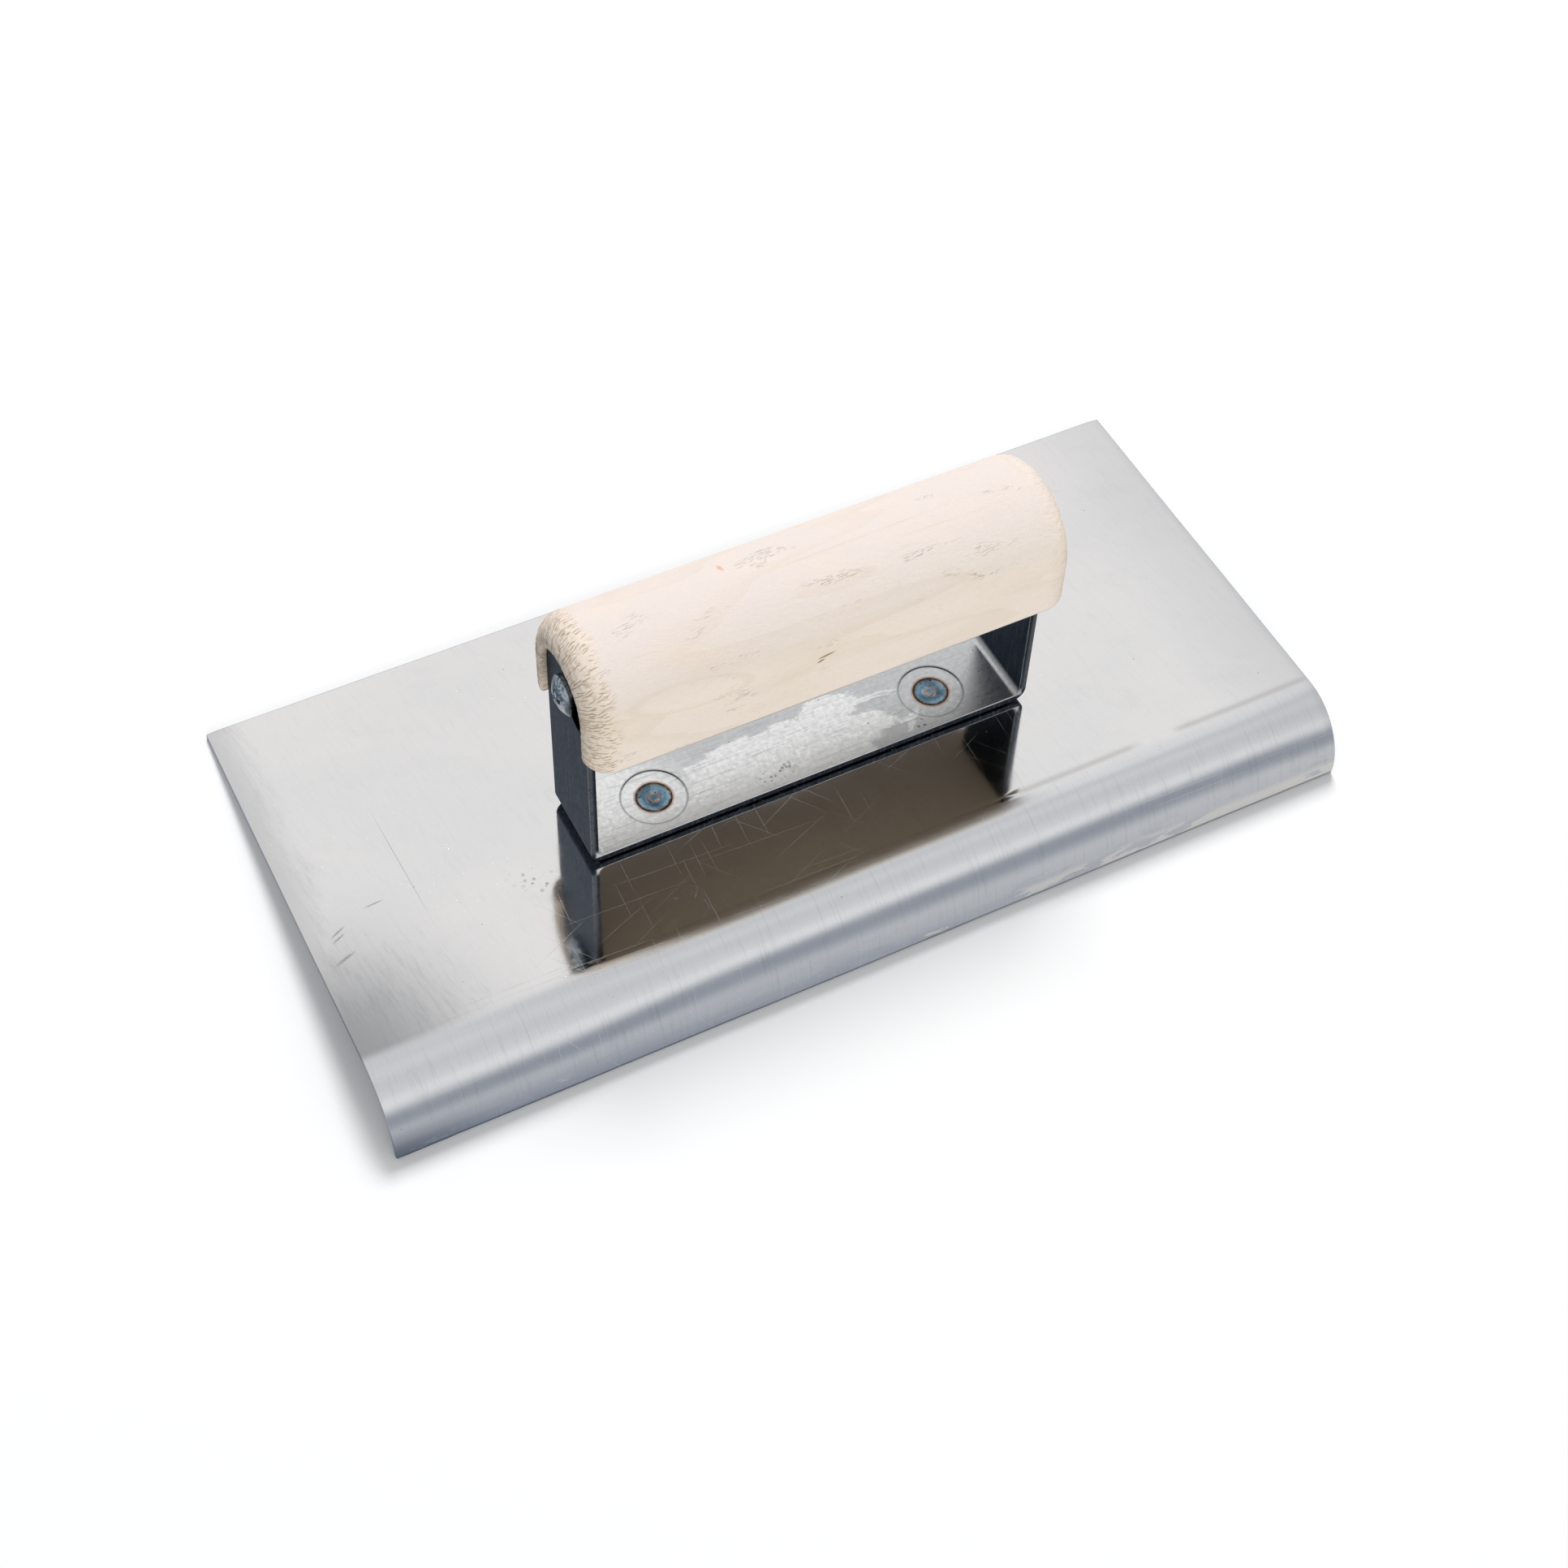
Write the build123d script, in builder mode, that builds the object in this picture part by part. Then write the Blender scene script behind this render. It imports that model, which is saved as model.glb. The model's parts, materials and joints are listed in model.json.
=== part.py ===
"""Hand edger for concrete: a stainless blade with a rolled lip, a strap bracket and a wood handle.

The tool is drawn in its own frame: X along the blade, Y from the rolled lip (-Y) towards the plain
edge (+Y), Z up, with the origin on the blade's top face under the middle of the handle.  Every
piece is then built straight into the resting pose, where the lip and the plain edge both touch
the ground at Z = 0.
"""
import os
from math import atan2, cos, degrees, radians, sin

from build123d import *

# ---------------------------------------------------------------- driving dimensions, mm and degrees
# Blade: one sheet, flat behind and rolled down in front
blade_length = 254.0
blade_thickness = 1.2
flat_behind = 66.5          # handle centre line to the plain edge
flat_ahead = 35.8           # handle centre line to the start of the lip
lip_radius = 17.0           # outside of the bend
lip_turn = 95.0             # how far the lip turns down
lip_tail = 0.6              # straight run after the bend
blade_corner = 0.8          # rounding of the four corners, seen from above

# Bracket: a strap bent into a U, standing on two coined seats
strap_length = 118.0
strap_width = 21.0
strap_thickness = 2.0
strap_bend = 3.6            # outside radius of each bend
strap_clearance = 0.6       # gap between the strap and the blade
edge_softening = 0.2        # worn edges of the strap
seat_diameter = 15.0        # underside of a coined seat
ring_diameter = 16.2        # its mark on the top face
ring_depth = 0.3
weld_spacing = 75.8
weld_diameter = 9.0
nugget_diameter = 6.0       # where the weld bites into the blade
nugget_depth = 0.4
weld_button = 3.4           # raised spot in the middle of a weld
weld_relief = 0.15          # height of its rim and button, depth of its dish

# Handle: an arched section, rounded over at its ends, with an open slot for each leg
handle_length = 123.2
handle_shift = 1.0          # it sits a little to the right of the bracket
handle_width = 35.6
handle_bottom = 41.4        # height of its flat underside
arch_height = 52.6          # height of the arch's centre, where the sides end
end_rounding = 6.4
underside_rounding = 0.8
slot_width = 21.8

# Screws: pan heads with a cross recess
screw_height = 51.8
screw_diameter = 4.8
screw_length = 25.0
screw_point = 5.0
screw_hole = 5.4
head_diameter = 10.0
head_height = 2.8
head_rim = 0.8              # straight side of the head under its dome
recess_length = 5.2
recess_width = 1.3
recess_depth = 1.7
recess_taper = 12.0
recess_angle = {"left": 20.0, "right": 55.0}

# ---------------------------------------------------------------- resting pose
turn = radians(lip_turn)
lip_end_y = -flat_ahead - lip_radius * sin(turn) - lip_tail * cos(turn)
lip_end_z = -lip_radius * (1 - cos(turn)) - lip_tail * sin(turn)
rest_angle = atan2(-blade_thickness - lip_end_z, flat_behind - lip_end_y)
front_y = lip_end_y * cos(rest_angle) + lip_end_z * sin(rest_angle)
back_y = flat_behind * cos(rest_angle)
ground_z = -flat_behind * sin(rest_angle) - blade_thickness * cos(rest_angle)
REST = Pos(0, -(front_y + back_y) / 2, -ground_z) * Rot(-degrees(rest_angle), 0, 0)


def at_rest(plane):
    """The plane, given in the tool's own frame, moved into the resting pose."""
    return Plane(REST * plane.location)


floor_underside = strap_clearance
floor_top = strap_clearance + strap_thickness
seat_top = floor_top - ring_depth
leg_face = strap_length / 2
leg_inner_face = leg_face - strap_thickness
weld_centres = {"left": -weld_spacing / 2, "right": weld_spacing / 2}
sides = {"left": -1, "right": 1}
handle_ends = {side: handle_shift + sign * handle_length / 2 for side, sign in sides.items()}


def arch_outline(width, bottom, centre):
    """An upright arch on the current sketch: straight sides up to the centre, then a half circle."""
    half = width / 2
    with BuildLine() as outline:
        Polyline((-half, centre), (-half, bottom), (half, bottom), (half, centre))
        ThreePointArc((half, centre), (0, centre + half), (-half, centre))
    make_face(outline.edges())


# ---------------------------------------------------------------- blade
with BuildPart() as blade:
    with BuildSketch(at_rest(Plane.YZ)):
        with BuildLine():
            flat = Line((flat_behind, 0), (-flat_ahead, 0))
            bend = JernArc(flat @ 1, flat % 1, lip_radius, lip_turn)
            Line(bend @ 1, bend @ 1 + (bend % 1) * lip_tail)
            offset(amount=blade_thickness, side=Side.LEFT)
        make_face()
    extrude(amount=blade_length / 2, both=True)
    thickness_edges = blade.edges().filter_by(
        lambda edge: abs(edge.length - blade_thickness) < blade_thickness / 100
    )
    fillet(thickness_edges, blade_corner)
    with BuildSketch(at_rest(Plane.XY)):
        with Locations(*[(x, 0) for x in weld_centres.values()]):
            Circle(nugget_diameter / 2)
    extrude(amount=-nugget_depth, mode=Mode.SUBTRACT)

# ---------------------------------------------------------------- handle bracket
with BuildPart() as handle_bracket:
    leg_top = arch_height + strap_width / 2
    with BuildSketch(at_rest(Plane.XZ)):
        with BuildLine():
            FilletPolyline(
                (-leg_face, leg_top),
                (-leg_face, floor_underside),
                (leg_face, floor_underside),
                (leg_face, leg_top),
                radius=strap_bend,
            )
            offset(amount=strap_thickness, side=Side.LEFT)
        make_face()
    extrude(amount=strap_width / 2, both=True)
    with BuildSketch(at_rest(Plane.YZ)):
        arch_outline(strap_width, 0, arch_height)
    extrude(amount=strap_length, both=True, mode=Mode.INTERSECT)
    fillet(handle_bracket.edges(), edge_softening)
    with BuildSketch(at_rest(Plane.XY)):
        with Locations(*[(x, 0) for x in weld_centres.values()]):
            Circle(seat_diameter / 2)
    extrude(amount=seat_top)
    with BuildSketch(at_rest(Plane.XY.offset(seat_top))):
        with Locations(*[(x, 0) for x in weld_centres.values()]):
            Circle(ring_diameter / 2)
    extrude(amount=strap_thickness, mode=Mode.SUBTRACT)
    with BuildSketch(at_rest(Plane.XY)):
        with Locations(*[(x, 0) for x in weld_centres.values()]):
            Circle(weld_diameter / 2)
    extrude(amount=floor_top, mode=Mode.SUBTRACT)
    with BuildSketch(at_rest(Plane.YZ)):
        with Locations((0, screw_height)):
            Circle(screw_hole / 2)
    extrude(amount=strap_length, both=True, mode=Mode.SUBTRACT)

# ---------------------------------------------------------------- wood handle
with BuildPart() as wood_handle:
    with BuildSketch(at_rest(Plane.YZ.offset(handle_ends["left"]))):
        arch_outline(handle_width, handle_bottom, arch_height)
    extrude(amount=handle_length)
    end_edges = wood_handle.faces().filter_by(Axis.X).edges()
    fillet(end_edges - end_edges.group_by(Axis.Z)[0], end_rounding)
    fillet(wood_handle.faces().sort_by(Axis.Z)[0].edges(), underside_rounding)
    for side, sign in sides.items():
        with BuildSketch(at_rest(Plane.YZ.offset(sign * leg_inner_face))):
            arch_outline(slot_width, handle_bottom - end_rounding, arch_height)
        extrude(amount=sign * end_rounding * 2, mode=Mode.SUBTRACT)
        bore_depth = screw_length - strap_thickness
        with BuildSketch(at_rest(Plane.YZ.offset(sign * leg_inner_face))):
            with Locations((0, screw_height)):
                Circle(screw_diameter / 2)
        extrude(amount=-sign * bore_depth, mode=Mode.SUBTRACT)


# ---------------------------------------------------------------- welds and screws
def make_weld(x):
    """A spot weld: a plug through the seat, biting into the blade, with a dished face and a button."""
    rim = weld_diameter / 2
    button = weld_button / 2
    dish_middle = ((rim + button) / 2, seat_top - weld_relief)
    with BuildPart() as weld:
        with BuildSketch(at_rest(Plane.XZ.move(Location((x, 0, 0))))):
            with BuildLine():
                Polyline(
                    (0, seat_top + weld_relief),
                    (0, -nugget_depth),
                    (nugget_diameter / 2, -nugget_depth),
                    (nugget_diameter / 2, 0),
                    (rim, 0),
                    (rim, seat_top),
                    (rim - weld_relief, seat_top + weld_relief),
                    (rim - weld_relief * 2, seat_top + weld_relief),
                )
                ThreePointArc(
                    (rim - weld_relief * 2, seat_top + weld_relief), dish_middle, (button, seat_top)
                )
                Line((button, seat_top), (button - weld_relief, seat_top + weld_relief))
                Line((button - weld_relief, seat_top + weld_relief), (0, seat_top + weld_relief))
            make_face()
        centre = at_rest(Plane((x, 0, 0)))
        revolve(axis=Axis(centre.origin, centre.z_dir))
    return weld


def make_screw(side):
    """A wood screw with a pan head, driven through a leg into the end of the handle."""
    sign = sides[side]
    seat = at_rest(Plane((sign * leg_face, 0, screw_height), x_dir=(0, 1, 0), z_dir=(sign, 0, 0)))
    shank = screw_diameter / 2
    rim = head_diameter / 2
    dome = head_height - head_rim
    dome_radius = (rim**2 + dome**2) / (2 * dome)
    with BuildPart() as screw:
        with BuildSketch(Plane(seat.origin, x_dir=seat.x_dir, z_dir=-seat.y_dir)):
            with BuildLine():
                Polyline(
                    (0, head_height),
                    (0, -screw_length),
                    (shank, screw_point - screw_length),
                    (shank, 0),
                    (rim, 0),
                    (rim, head_rim),
                )
                RadiusArc((0, head_height), (rim, head_rim), dome_radius)
            make_face()
        revolve(axis=Axis(seat.origin, seat.z_dir))
        with BuildSketch(seat.offset(head_height)):
            for angle in (0, 90):
                Rectangle(recess_length, recess_width, rotation=recess_angle[side] + angle)
        extrude(amount=-recess_depth, taper=recess_taper, mode=Mode.SUBTRACT)
    return screw


# ---------------------------------------------------------------- write the pieces
pieces = {"blade": blade, "handle_bracket": handle_bracket, "wood_handle": wood_handle}
for side in sides:
    pieces[f"spot_weld_{side}"] = make_weld(weld_centres[side])
    pieces[f"handle_screw_{side}"] = make_screw(side)

os.makedirs("parts", exist_ok=True)
for name, piece in pieces.items():
    piece.part.label = name
    export_step(piece.part, f"parts/{name}.step")
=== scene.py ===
import json
import math

import bpy
from mathutils import Matrix, Vector, noise


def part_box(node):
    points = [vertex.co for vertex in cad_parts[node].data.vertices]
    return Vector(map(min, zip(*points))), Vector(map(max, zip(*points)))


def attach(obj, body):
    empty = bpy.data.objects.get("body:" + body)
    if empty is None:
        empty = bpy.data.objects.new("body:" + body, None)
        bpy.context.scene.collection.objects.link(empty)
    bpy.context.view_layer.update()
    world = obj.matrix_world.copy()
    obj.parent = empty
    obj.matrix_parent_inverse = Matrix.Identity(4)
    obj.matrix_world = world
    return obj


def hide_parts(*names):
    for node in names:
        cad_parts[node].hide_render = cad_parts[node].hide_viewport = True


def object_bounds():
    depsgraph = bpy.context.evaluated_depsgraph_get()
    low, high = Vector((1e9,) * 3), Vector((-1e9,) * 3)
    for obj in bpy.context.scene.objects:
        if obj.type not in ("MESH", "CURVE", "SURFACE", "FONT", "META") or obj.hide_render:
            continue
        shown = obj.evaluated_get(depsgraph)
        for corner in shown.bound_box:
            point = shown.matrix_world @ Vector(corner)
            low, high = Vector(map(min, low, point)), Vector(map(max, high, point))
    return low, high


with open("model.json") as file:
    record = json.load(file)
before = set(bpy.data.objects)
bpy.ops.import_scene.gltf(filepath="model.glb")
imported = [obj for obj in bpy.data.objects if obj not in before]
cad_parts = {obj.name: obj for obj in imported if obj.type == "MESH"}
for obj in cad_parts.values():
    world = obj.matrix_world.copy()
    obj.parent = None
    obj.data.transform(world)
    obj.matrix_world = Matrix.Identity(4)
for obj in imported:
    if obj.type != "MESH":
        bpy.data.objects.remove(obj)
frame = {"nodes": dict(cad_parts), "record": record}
cad_low, cad_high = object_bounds()

# ------------------------------------------------------------------ sizes
# Lengths are in millimetres in the tool's own frame: X along the blade, +Y towards its plain edge,
# Z square to its flat, and the origin on the flat under the middle of the handle.
MM = 0.001
BLADE = {
    "length": (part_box("blade")[1].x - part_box("blade")[0].x) / MM,
    "thickness": 1.2,
    "behind": 66.5,         # handle centre line to the plain edge
    "ahead": 35.8,          # handle centre line to the start of the lip
    "lip_radius": 17.0,
    "lip_turn": math.radians(95),
    "lip_tail": 0.6,
    "corner": 0.8,
    "edge_round": 0.25,
}
HALF_SHEET = BLADE["thickness"] / 2
FLAT_WIDTH = BLADE["behind"] + BLADE["ahead"]
BEND_RADIUS = BLADE["lip_radius"] - HALF_SHEET          # at the middle of the sheet
LIP_START = -BLADE["ahead"]
STRAP = {"half_length": 59.0, "half_width": 10.5, "thickness": 2.0, "clearance": 0.6}
FLOOR_TOP = STRAP["clearance"] + STRAP["thickness"]     # top face of the strap between its legs
WELD = {"from_middle": 37.9, "disc": 4.5, "seat": 8.1, "sunk": 0.3}
SCREW = {"height": 51.8, "crown": 59.0 + 2.8}           # the middle of the head stands at the crown
HANDLE = {"bottom": 41.4, "arch_centre": 52.6, "half_width": 17.8, "end_rounding": 6.4}
FACE_Y = 20.0               # where the record's working face mount lies in the tool's frame

# ------------------------------------------------------------------ tool frame at rest
face = next(m for m in frame["record"]["mounts"] if m["name"] == "working_face")
TILT = math.asin(-face["axis"][1])
turned = Matrix.Rotation(-TILT, 4, "X")
face_in_tool = Vector((0, FACE_Y, -BLADE["thickness"])) * MM
AT_REST = Matrix.Translation(Vector(face["pos_m"]) - turned @ face_in_tool) @ turned
TOOL_FROM_REST = AT_REST.inverted()


def smoothstep(low, high, value):
    t = min(max((value - low) / (high - low), 0.0), 1.0)
    return t * t * (3 - 2 * t)


# ------------------------------------------------------------------ shader building
class Graph:
    """A node tree, with short names for the nodes that everything here uses."""

    def __init__(self, tree):
        self.nodes = tree.nodes
        self.links = tree.links

    def plug(self, socket, value):
        if isinstance(value, bpy.types.NodeSocket):
            self.links.new(value, socket)
        else:
            socket.default_value = value

    def node(self, kind, inputs=(), **settings):
        made = self.nodes.new("ShaderNode" + kind)
        for key, value in settings.items():
            setattr(made, key, value)
        for key, value in dict(inputs).items():
            self.plug(made.inputs[key], value)
        return made

    def math(self, operation, *values, clamp=False):
        made = self.node("Math", operation=operation, use_clamp=clamp)
        for socket, value in zip(made.inputs, values):
            self.plug(socket, value)
        return made.outputs[0]

    def size(self, value):
        return self.math("ABSOLUTE", value)

    def most(self, *values):
        total = values[0]
        for value in values[1:]:
            total = self.math("MAXIMUM", total, value)
        return total

    def times(self, *values):
        total = values[0]
        for value in values[1:]:
            total = self.math("MULTIPLY", total, value)
        return total

    def axes(self, vector):
        return self.node("SeparateXYZ", {"Vector": vector}).outputs

    def near(self, vector, centre):
        """Distance from a point."""
        made = self.node("VectorMath", operation="DISTANCE")
        self.plug(made.inputs[0], vector)
        made.inputs[1].default_value = centre
        return made.outputs["Value"]

    def rotate(self, vector, degrees):
        return self.node("VectorRotate", {"Vector": vector, "Angle": math.radians(degrees)}).outputs[0]

    def stretch(self, vector, scale, turn=0.0, shift=(0, 0, 0)):
        """The vector turned by some degrees, then scaled on each axis, then moved."""
        made = self.node("Mapping", {"Vector": vector}, vector_type="POINT")
        made.inputs["Scale"].default_value = scale
        made.inputs["Location"].default_value = shift
        if turn:
            self.plug(made.inputs["Vector"], self.rotate(vector, turn))
        return made.outputs[0]

    def noise(self, vector, scale=1.0, detail=2.0, rough=0.5, warp=0.0):
        inputs = {"Vector": vector, "Scale": scale, "Detail": detail, "Roughness": rough}
        made = self.node("TexNoise", inputs)
        made.inputs["Distortion"].default_value = warp
        return made.outputs["Fac"]

    def ramp(self, value, low, high, out_low=0.0, out_high=1.0):
        """value from low to high, smoothly, as out_low to out_high."""
        inputs = {"Value": value, "From Min": low, "From Max": high, "To Min": out_low, "To Max": out_high}
        made = self.node("MapRange", inputs, interpolation_type="SMOOTHSTEP")
        return made.outputs[0]

    def mix(self, share, first, second, blend="MIX"):
        made = self.node("Mix", data_type="RGBA", blend_type=blend)
        self.plug(made.inputs["Factor"], share)
        self.plug(made.inputs[6], first)
        self.plug(made.inputs[7], second)
        return made.outputs[2]

    def color_stops(self, value, stops, interpolation="LINEAR"):
        """A colour from a value between 0 and 1, by stops that are each a place and a colour."""
        made = self.node("ValToRGB", {"Fac": value})
        made.color_ramp.interpolation = interpolation
        elements = made.color_ramp.elements
        while len(elements) < len(stops):
            elements.new(0.5)
        for element, (place, color) in zip(elements, stops):
            element.position = place
            element.color = color
        return made.outputs["Color"]

    def lines(self, vector, turn, length, pitch, width, share, seed):
        """Thin straight scratches with tapered ends, one at most in each cell of length by pitch."""
        along, across, _ = self.axes(self.rotate(vector, turn))
        rows = self.math("ADD", self.math("DIVIDE", across, pitch), seed)
        row = self.math("FLOOR", rows)
        start = self.node("TexWhiteNoise", {"W": row}, noise_dimensions="1D").outputs["Value"]
        cells = self.math("ADD", self.math("DIVIDE", along, length), self.math("MULTIPLY", start, 7.0))
        cell = self.math("FLOOR", cells)
        place = self.node("CombineXYZ", {"X": row, "Y": cell}).outputs[0]
        dice = self.node("TexWhiteNoise", {"Vector": place}, noise_dimensions="2D").outputs["Color"]
        chance, middle, lean = self.axes(dice)
        gone = self.math("SUBTRACT", self.math("FRACT", cells), 0.5)
        slant = self.math("MULTIPLY", self.math("SUBTRACT", lean, 0.5), gone)
        centre = self.math("MULTIPLY_ADD", middle, 0.3, 0.35)
        centre = self.math("ADD", centre, self.math("MULTIPLY", slant, 0.6))
        off = self.size(self.math("SUBTRACT", self.math("FRACT", rows), centre))
        taper = self.math("MULTIPLY", self.math("MULTIPLY", gone, gone), 4.0)
        taper = self.math("SUBTRACT", 1.0, taper)
        half = self.math("MULTIPLY_ADD", taper, width / pitch, 0.0001)
        inputs = {"Value": off, "From Min": 0.0, "From Max": half, "To Min": 1.0, "To Max": 0.0}
        line = self.node("MapRange", inputs)
        return self.math("MULTIPLY", line.outputs[0], self.math("LESS_THAN", chance, share))

    def mark(self, vector, centre, turn, half_length, half_width, soft=0.6):
        """One mark of a given place and size, fading out towards its rim."""
        made = self.node("Mapping", {"Vector": vector}, vector_type="TEXTURE")
        made.inputs["Location"].default_value = (*centre, 0)
        made.inputs["Rotation"].default_value = (0, 0, math.radians(turn))
        made.inputs["Scale"].default_value = (half_length, half_width, 1)
        reach = self.node("VectorMath", {0: made.outputs[0]}, operation="LENGTH").outputs["Value"]
        return self.ramp(reach, 1 - soft, 1.0, 1.0, 0.0)

    def marks(self, vector, places):
        return self.most(*(self.mark(vector, *numbers) for numbers in places))

    def specks(self, vector, pitch, size, share, turn=0.0):
        """Small round marks on a jittered grid; size is the share of the pitch that each covers."""
        if turn:
            vector = self.rotate(vector, turn)
        cells = self.node("TexVoronoi", {"Vector": vector, "Scale": 1 / pitch})
        dot = self.ramp(cells.outputs["Distance"], size * 0.6, size, 1.0, 0.0)
        chosen = self.axes(cells.outputs["Color"])[0]
        return self.math("MULTIPLY", dot, self.math("LESS_THAN", chosen, share))


class Surface(Graph):
    """A material around one principled shader."""

    def __init__(self, name):
        self.material = bpy.data.materials.new(name)
        self.material.use_nodes = True
        super().__init__(self.material.node_tree)
        self.shader = self.nodes["Principled BSDF"]

    def mm(self):
        """The point in the tool's frame, in millimetres."""
        place, turn, _ = TOOL_FROM_REST.decompose()
        made = self.node("Mapping", {"Vector": self.node("TexCoord").outputs["Object"]})
        made.inputs["Location"].default_value = place / MM
        made.inputs["Rotation"].default_value = turn.to_euler()
        made.inputs["Scale"].default_value = (1 / MM,) * 3
        return made.outputs[0]

    def attribute(self, name, output="Fac"):
        """A value that the mesh carries on its points."""
        return self.node("Attribute", attribute_name=name).outputs[output]

    def facing_x(self):
        """How squarely the surface faces along the tool, either way, 0 to 1."""
        return self.size(self.axes(self.node("TexCoord").outputs["Normal"])[0])

    def relief(self, *layers):
        """A normal from layers of height, each a value and how many millimetres 1 of it stands for."""
        height = self.math("MULTIPLY", *layers[0])
        for value, depth in layers[1:]:
            height = self.math("MULTIPLY_ADD", value, depth, height)
        return self.node("Bump", {"Height": height, "Distance": MM, "Strength": 1.0}).outputs[0]

    def finish(self, color=None, roughness=None, normal=None, **constants):
        for key, value in (("Base Color", color), ("Roughness", roughness), ("Normal", normal)):
            if value is not None:
                self.plug(self.shader.inputs[key], value)
        for key, value in constants.items():
            self.shader.inputs[key.replace("_", " ")].default_value = value
        return self.material


def rgb(red, green, blue):
    return (red, green, blue, 1.0)


BLACK = rgb(0.0, 0.0, 0.0)
WHITE = rgb(1.0, 1.0, 1.0)

# ------------------------------------------------------------------ blade material
STEEL = {
    "warm": rgb(0.755, 0.74, 0.735), "cool": rgb(0.72, 0.715, 0.715), "smear": rgb(0.60, 0.60, 0.61),
    "worn": rgb(0.38, 0.39, 0.405), "worn_corner": rgb(0.22, 0.23, 0.24),
    "right_end": rgb(0.48, 0.49, 0.52), "rubbed": rgb(0.24, 0.25, 0.26),
    "lip": rgb(0.69, 0.70, 0.715), "lip_wear": rgb(0.40, 0.41, 0.43), "lip_dull_and_shade": rgb(0.26, 0.28, 0.31),
    "residue": rgb(0.52, 0.54, 0.62), "film": rgb(1.0, 0.96, 0.88), "rim": rgb(0.16, 0.17, 0.19),
    "pressed": rgb(0.40, 0.39, 0.38), "scratch": rgb(0.44, 0.44, 0.44), "scuff": rgb(0.27, 0.26, 0.25),
    "pit": rgb(0.25, 0.24, 0.23),
}
SCRATCHES = [   # direction, then length, pitch, half width, share of cells and seed, as Graph.lines
    (2, 40, 1.9, 0.09, 0.26, 0.0), (93, 13, 1.7, 0.08, 0.14, 31.0), (-24, 22, 3.3, 0.08, 0.20, 57.0),
    (52, 17, 3.9, 0.08, 0.18, 83.0),
]
SCUFFS = [      # place on the sheet, direction, half length and half width of the deeper scratches
    ((-120.4, -9.8), 21, 3.6, 0.60), ((-119.4, -2.2), 25, 2.9, 0.38), ((-119.8, -3.9), 25, 2.4, 0.36),
    ((-109.1, 1.7), 4, 3.2, 0.26), ((-38.6, -33.0), 88, 6.2, 0.24), ((-39.3, -32.0), 93, 2.6, 0.24),
    ((-40.6, -28.6), 55, 1.5, 0.24), ((-45.2, -27.4), -32, 1.1, 0.28), ((-99.2, 9.6), -88, 23.0, 0.09),
]
STAR = ((-39.5, -26.5), 20, 3.4, 2.4)               # a knot of short nicks ahead of the left leg
STAINED = ((-72, -9), -42, 10, 5, 0.9)              # a pitted patch beside the left leg
LEFT_LIP_CORNER = (-134, LIP_START - 2, 0)          # wear spreads from here


def blade_scratches(s, sheet):
    """Fine marks of use: mostly along the blade, some across it, and a few deeper ones."""
    fine = s.most(*(s.lines(sheet, *numbers) for numbers in SCRATCHES))
    here = s.noise(s.stretch(sheet, (0.02, 0.03, 1), 0, (4, 8, 0)), detail=2.0)
    fine = s.times(fine, s.ramp(here, 0.36, 0.64, 0.15, 1.0))
    nicks = s.lines(sheet, 60, 2.0, 0.7, 0.12, 0.6, 5.0)
    return fine, s.most(s.marks(sheet, SCUFFS), s.times(s.mark(sheet, *STAR), nicks, 0.8))


def blade_pits(s, sheet):
    """Tiny pits: a few anywhere, and many in the stained patch."""
    crowded = s.times(s.specks(sheet, 1.5, 0.42, 0.6, turn=40), s.mark(sheet, *STAINED))
    return s.most(s.specks(sheet, 5.0, 0.05, 0.35), crowded)


def worn_left_end(s, sheet, rubbed):
    """How worn the sheet is towards its left end, and how dark that is right at the lip's corner."""
    x = s.axes(sheet)[0]
    from_corner = s.math("ADD", s.near(sheet, LEFT_LIP_CORNER), s.times(rubbed, 34.0))
    from_edge = s.math("ADD", x, s.times(rubbed, 24.0))
    left_edge = s.times(s.ramp(from_edge, -115, -104, 1.0, 0.0), 0.6)
    worn = s.most(s.ramp(from_corner, 24, 72, 1.0, 0.0), left_edge)
    return worn, s.ramp(from_corner, 24, 58, 0.6, 0.0)


def flat_color(s, sheet, smear, rubbed, worn, corner):
    """The flat: clean sheet with wiped smears, dull at both ends and dullest at the left."""
    x = s.axes(sheet)[0]
    haze = s.noise(s.stretch(sheet, (0.010, 0.022, 1)), detail=5.0, rough=0.6, warp=0.3)
    color = s.mix(s.ramp(haze, 0.35, 0.65), STEEL["warm"], STEEL["cool"])
    color = s.mix(s.ramp(smear, 0.50, 0.70, 0.0, 0.16), color, STEEL["smear"])
    color = s.mix(s.times(worn, 0.72), color, STEEL["worn"])
    color = s.mix(corner, color, STEEL["worn_corner"])
    color = s.mix(s.ramp(x, 95, 128, 0.0, 0.32), color, STEEL["right_end"])
    streaks = s.times(s.ramp(rubbed, 0.48, 0.70), s.math("MULTIPLY_ADD", worn, 0.32, 0.07))
    return s.mix(streaks, color, STEEL["rubbed"])


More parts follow.
